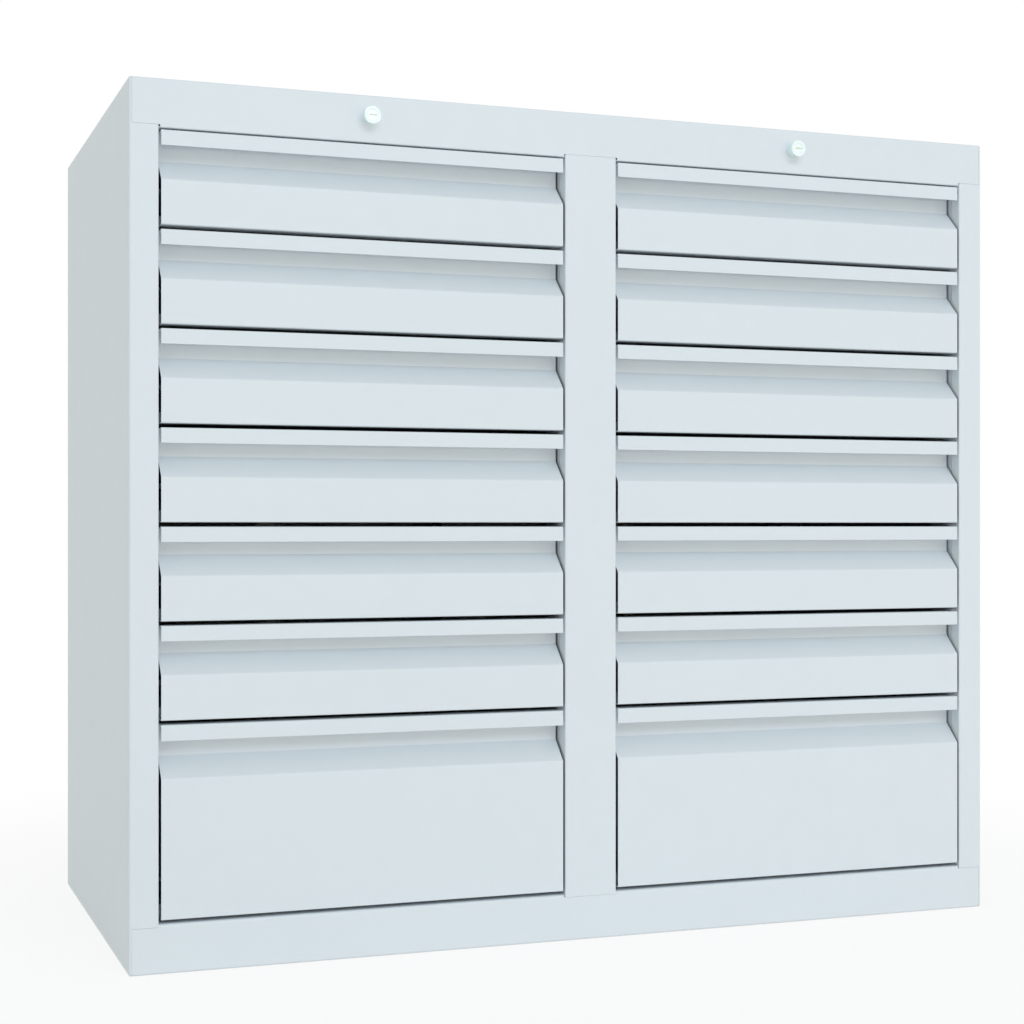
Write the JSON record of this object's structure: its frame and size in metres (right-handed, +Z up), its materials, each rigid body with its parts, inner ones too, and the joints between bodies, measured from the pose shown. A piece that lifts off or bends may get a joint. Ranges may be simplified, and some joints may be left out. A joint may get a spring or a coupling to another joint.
{
  "type": "microscope slide cabinet",
  "caption": "Free-standing steel cabinet with two columns of flush drawers for microscope slides, folded full-width grips, telescopic slides and a key lock over each column.",
  "frame": {"origin": "centre of the underside of the bounding box, on the floor", "axes": "+X to the right seen from the front, +Y to the back, +Z up"},
  "size_m": [1, 0.512, 0.9],
  "materials": {
    "shell_paint": "light grey powder coat, satin, very fine texture",
    "front_paint": "light grey powder coat, satin, very fine texture",
    "box_paint": "light grey powder coat, satin",
    "zinc": "bright zinc plate on folded steel",
    "slide_steel": "bright zinc plate on rolled steel",
    "lock_chrome": "polished chrome plate",
    "lock_core": "satin nickel plate"
  },
  "bodies": {
    "carcass": {"left_side_panel": "shell_paint", "right_side_panel": "shell_paint", "top_panel": "shell_paint", "bottom_panel": "shell_paint", "back_panel": "shell_paint", "centre_post": "shell_paint", "centre_uprights": "shell_paint", "side_uprights": "shell_paint", "cabinet_rails": "slide_steel", "lock_housings": "lock_chrome", "lock_nuts": "zinc", "lock_brackets": "zinc"},
    "left_drawer_1": {"left_drawer_1_front": "front_paint", "left_drawer_1_box": "box_paint"},
    "left_drawer_1_middle": {"left_drawer_1_slide_middle": "slide_steel"},
    "left_drawer_2": {"left_drawer_2_front": "front_paint", "left_drawer_2_box": "box_paint"},
    "left_drawer_2_middle": {"left_drawer_2_slide_middle": "slide_steel"},
    "left_drawer_3": {"left_drawer_3_front": "front_paint", "left_drawer_3_box": "box_paint"},
    "left_drawer_3_middle": {"left_drawer_3_slide_middle": "slide_steel"},
    "left_drawer_4": {"left_drawer_4_front": "front_paint", "left_drawer_4_box": "box_paint"},
    "left_drawer_4_middle": {"left_drawer_4_slide_middle": "slide_steel"},
    "left_drawer_5": {"left_drawer_5_front": "front_paint", "left_drawer_5_box": "box_paint"},
    "left_drawer_5_middle": {"left_drawer_5_slide_middle": "slide_steel"},
    "left_drawer_6": {"left_drawer_6_front": "front_paint", "left_drawer_6_box": "box_paint"},
    "left_drawer_6_middle": {"left_drawer_6_slide_middle": "slide_steel"},
    "left_drawer_7": {"left_drawer_7_front": "front_paint", "left_drawer_7_box": "box_paint", "left_drawer_7_runners": "slide_steel"},
    "left_drawer_7_middle": {"left_drawer_7_slide_middle": "slide_steel"},
    "left_lock": {"left_lock_plug": "lock_core"},
    "left_bar": {"left_lock_bar": "zinc"},
    "right_drawer_1": {"right_drawer_1_front": "front_paint", "right_drawer_1_box": "box_paint"},
    "right_drawer_1_middle": {"right_drawer_1_slide_middle": "slide_steel"},
    "right_drawer_2": {"right_drawer_2_front": "front_paint", "right_drawer_2_box": "box_paint"},
    "right_drawer_2_middle": {"right_drawer_2_slide_middle": "slide_steel"},
    "right_drawer_3": {"right_drawer_3_front": "front_paint", "right_drawer_3_box": "box_paint"},
    "right_drawer_3_middle": {"right_drawer_3_slide_middle": "slide_steel"},
    "right_drawer_4": {"right_drawer_4_front": "front_paint", "right_drawer_4_box": "box_paint"},
    "right_drawer_4_middle": {"right_drawer_4_slide_middle": "slide_steel"},
    "right_drawer_5": {"right_drawer_5_front": "front_paint", "right_drawer_5_box": "box_paint"},
    "right_drawer_5_middle": {"right_drawer_5_slide_middle": "slide_steel"},
    "right_drawer_6": {"right_drawer_6_front": "front_paint", "right_drawer_6_box": "box_paint"},
    "right_drawer_6_middle": {"right_drawer_6_slide_middle": "slide_steel"},
    "right_drawer_7": {"right_drawer_7_front": "front_paint", "right_drawer_7_box": "box_paint", "right_drawer_7_runners": "slide_steel"},
    "right_drawer_7_middle": {"right_drawer_7_slide_middle": "slide_steel"},
    "right_lock": {"right_lock_plug": "lock_core"},
    "right_bar": {"right_lock_bar": "zinc"}
  },
  "joints": [
    {"name": "left_drawer_1_slide", "type": "slide", "parent": "carcass", "child": "left_drawer_1", "axis": [0, -1, 0], "range_m": [0, 0.45]},
    {"name": "left_drawer_1_middle_slide", "type": "slide", "parent": "carcass", "child": "left_drawer_1_middle", "axis": [0, -1, 0], "range_m": [0, 0.225]},
    {"name": "left_drawer_2_slide", "type": "slide", "parent": "carcass", "child": "left_drawer_2", "axis": [0, -1, 0], "range_m": [0, 0.45]},
    {"name": "left_drawer_2_middle_slide", "type": "slide", "parent": "carcass", "child": "left_drawer_2_middle", "axis": [0, -1, 0], "range_m": [0, 0.225]},
    {"name": "left_drawer_3_slide", "type": "slide", "parent": "carcass", "child": "left_drawer_3", "axis": [0, -1, 0], "range_m": [0, 0.45]},
    {"name": "left_drawer_3_middle_slide", "type": "slide", "parent": "carcass", "child": "left_drawer_3_middle", "axis": [0, -1, 0], "range_m": [0, 0.225]},
    {"name": "left_drawer_4_slide", "type": "slide", "parent": "carcass", "child": "left_drawer_4", "axis": [0, -1, 0], "range_m": [0, 0.45]},
    {"name": "left_drawer_4_middle_slide", "type": "slide", "parent": "carcass", "child": "left_drawer_4_middle", "axis": [0, -1, 0], "range_m": [0, 0.225]},
    {"name": "left_drawer_5_slide", "type": "slide", "parent": "carcass", "child": "left_drawer_5", "axis": [0, -1, 0], "range_m": [0, 0.45]},
    {"name": "left_drawer_5_middle_slide", "type": "slide", "parent": "carcass", "child": "left_drawer_5_middle", "axis": [0, -1, 0], "range_m": [0, 0.225]},
    {"name": "left_drawer_6_slide", "type": "slide", "parent": "carcass", "child": "left_drawer_6", "axis": [0, -1, 0], "range_m": [0, 0.45]},
    {"name": "left_drawer_6_middle_slide", "type": "slide", "parent": "carcass", "child": "left_drawer_6_middle", "axis": [0, -1, 0], "range_m": [0, 0.225]},
    {"name": "left_drawer_7_slide", "type": "slide", "parent": "carcass", "child": "left_drawer_7", "axis": [0, -1, 0], "range_m": [0, 0.45]},
    {"name": "left_drawer_7_middle_slide", "type": "slide", "parent": "carcass", "child": "left_drawer_7_middle", "axis": [0, -1, 0], "range_m": [0, 0.225]},
    {"name": "left_lock_turn", "type": "hinge", "parent": "carcass", "child": "left_lock", "pos_m": [-0.25, 0, 0.877], "axis": [0, 1, 0], "range_deg": [0, 90]},
    {"name": "left_bar_slide", "type": "slide", "parent": "carcass", "child": "left_bar", "axis": [0, 0, -1], "range_m": [0, 0.01414]},
    {"name": "right_drawer_1_slide", "type": "slide", "parent": "carcass", "child": "right_drawer_1", "axis": [0, -1, 0], "range_m": [0, 0.45]},
    {"name": "right_drawer_1_middle_slide", "type": "slide", "parent": "carcass", "child": "right_drawer_1_middle", "axis": [0, -1, 0], "range_m": [0, 0.225]},
    {"name": "right_drawer_2_slide", "type": "slide", "parent": "carcass", "child": "right_drawer_2", "axis": [0, -1, 0], "range_m": [0, 0.45]},
    {"name": "right_drawer_2_middle_slide", "type": "slide", "parent": "carcass", "child": "right_drawer_2_middle", "axis": [0, -1, 0], "range_m": [0, 0.225]},
    {"name": "right_drawer_3_slide", "type": "slide", "parent": "carcass", "child": "right_drawer_3", "axis": [0, -1, 0], "range_m": [0, 0.45]},
    {"name": "right_drawer_3_middle_slide", "type": "slide", "parent": "carcass", "child": "right_drawer_3_middle", "axis": [0, -1, 0], "range_m": [0, 0.225]},
    {"name": "right_drawer_4_slide", "type": "slide", "parent": "carcass", "child": "right_drawer_4", "axis": [0, -1, 0], "range_m": [0, 0.45]},
    {"name": "right_drawer_4_middle_slide", "type": "slide", "parent": "carcass", "child": "right_drawer_4_middle", "axis": [0, -1, 0], "range_m": [0, 0.225]},
    {"name": "right_drawer_5_slide", "type": "slide", "parent": "carcass", "child": "right_drawer_5", "axis": [0, -1, 0], "range_m": [0, 0.45]},
    {"name": "right_drawer_5_middle_slide", "type": "slide", "parent": "carcass", "child": "right_drawer_5_middle", "axis": [0, -1, 0], "range_m": [0, 0.225]},
    {"name": "right_drawer_6_slide", "type": "slide", "parent": "carcass", "child": "right_drawer_6", "axis": [0, -1, 0], "range_m": [0, 0.45]},
    {"name": "right_drawer_6_middle_slide", "type": "slide", "parent": "carcass", "child": "right_drawer_6_middle", "axis": [0, -1, 0], "range_m": [0, 0.225]},
    {"name": "right_drawer_7_slide", "type": "slide", "parent": "carcass", "child": "right_drawer_7", "axis": [0, -1, 0], "range_m": [0, 0.45]},
    {"name": "right_drawer_7_middle_slide", "type": "slide", "parent": "carcass", "child": "right_drawer_7_middle", "axis": [0, -1, 0], "range_m": [0, 0.225]},
    {"name": "right_lock_turn", "type": "hinge", "parent": "carcass", "child": "right_lock", "pos_m": [0.25, 0, 0.877], "axis": [0, 1, 0], "range_deg": [0, 90]},
    {"name": "right_bar_slide", "type": "slide", "parent": "carcass", "child": "right_bar", "axis": [0, 0, -1], "range_m": [0, 0.01414]}
  ],
  "couplings": [
    {"joint": "left_drawer_1_middle_slide", "follows": "left_drawer_1_slide", "ratio": 0.5},
    {"joint": "left_drawer_2_middle_slide", "follows": "left_drawer_2_slide", "ratio": 0.5},
    {"joint": "left_drawer_3_middle_slide", "follows": "left_drawer_3_slide", "ratio": 0.5},
    {"joint": "left_drawer_4_middle_slide", "follows": "left_drawer_4_slide", "ratio": 0.5},
    {"joint": "left_drawer_5_middle_slide", "follows": "left_drawer_5_slide", "ratio": 0.5},
    {"joint": "left_drawer_6_middle_slide", "follows": "left_drawer_6_slide", "ratio": 0.5},
    {"joint": "left_drawer_7_middle_slide", "follows": "left_drawer_7_slide", "ratio": 0.5},
    {"joint": "left_lock_turn", "follows": "left_bar_slide", "rad_per_m": 111.07},
    {"joint": "right_drawer_1_middle_slide", "follows": "right_drawer_1_slide", "ratio": 0.5},
    {"joint": "right_drawer_2_middle_slide", "follows": "right_drawer_2_slide", "ratio": 0.5},
    {"joint": "right_drawer_3_middle_slide", "follows": "right_drawer_3_slide", "ratio": 0.5},
    {"joint": "right_drawer_4_middle_slide", "follows": "right_drawer_4_slide", "ratio": 0.5},
    {"joint": "right_drawer_5_middle_slide", "follows": "right_drawer_5_slide", "ratio": 0.5},
    {"joint": "right_drawer_6_middle_slide", "follows": "right_drawer_6_slide", "ratio": 0.5},
    {"joint": "right_drawer_7_middle_slide", "follows": "right_drawer_7_slide", "ratio": 0.5},
    {"joint": "right_lock_turn", "follows": "right_bar_slide", "rad_per_m": 111.07}
  ]
}
